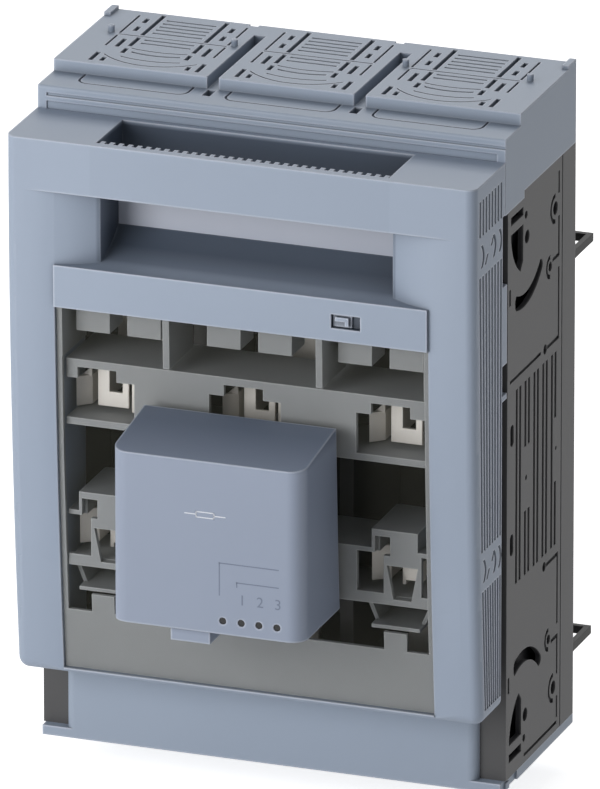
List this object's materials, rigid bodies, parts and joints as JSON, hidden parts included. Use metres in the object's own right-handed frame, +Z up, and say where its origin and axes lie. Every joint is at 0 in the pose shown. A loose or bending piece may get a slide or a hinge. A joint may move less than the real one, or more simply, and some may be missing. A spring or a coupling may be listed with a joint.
{
  "type": "fuse switch disconnector",
  "caption": "Wall-mounted three-pole fuse switch with a swing-out windowed cover, handle bar and a fuse monitoring unit.",
  "frame": {"origin": "centre of the four fixing holes, on the back face of the rear tray", "axes": "+X to the right seen from the front, +Y back into the mounting plate, +Z up"},
  "size_m": [0.21, 0.1916, 0.3024],
  "materials": {
    "cover_plastic": "fine moulded grain",
    "base_plastic": "fine moulded grain",
    "inner_plastic": "moulded",
    "unit_plastic": "fine moulded grain",
    "window_pane": "clear, lightly smoked",
    "label_plastic": "smooth",
    "silvered_copper": "satin silver plating",
    "zinc_steel": "zinc plated",
    "bracket_steel": "dark coated",
    "circuit_board": "solder mask",
    "lamp_plastic": "tinted lens"
  },
  "bodies": {
    "base": {"base_housing": "base_plastic", "rear_tray": "base_plastic", "housing_screws": "zinc_steel", "top_hood": "cover_plastic", "bottom_hood": "cover_plastic", "rear_bracket_lower": "bracket_steel", "rear_bracket_upper": "bracket_steel", "upper_contact_cover": "inner_plastic", "lower_contact_cover": "inner_plastic", "terminal_bolts": "zinc_steel", "terminal_nuts": "zinc_steel", "upper_contact_1": "silvered_copper", "lower_contact_1": "silvered_copper", "arc_plates_1": "zinc_steel", "upper_contact_2": "silvered_copper", "lower_contact_2": "silvered_copper", "arc_plates_2": "zinc_steel", "upper_contact_3": "silvered_copper", "lower_contact_3": "silvered_copper", "arc_plates_3": "zinc_steel"},
    "cover": {"swing_cover": "cover_plastic", "hinge_pin_right": "zinc_steel", "hinge_pin_left": "zinc_steel", "label_strip": "label_plastic", "window": "window_pane", "cover_inner_frame": "inner_plastic", "unit_housing": "unit_plastic", "unit_back": "unit_plastic", "unit_board": "circuit_board", "unit_lamps": "lamp_plastic", "unit_terminals": "inner_plastic", "fuse_grip_1": "inner_plastic", "fuse_grip_2": "inner_plastic", "fuse_grip_3": "inner_plastic"},
    "slide": {"lock_slide": "cover_plastic"}
  },
  "joints": [
    {"name": "cover_swing", "type": "hinge", "parent": "base", "child": "cover", "pos_m": [0, -0.102, -0.08205], "axis": [1, 0, 0], "range_deg": [0, 90]},
    {"name": "lock_slide", "type": "slide", "parent": "cover", "child": "slide", "axis": [1, 0, 0], "range_m": [0, 0.004]}
  ]
}
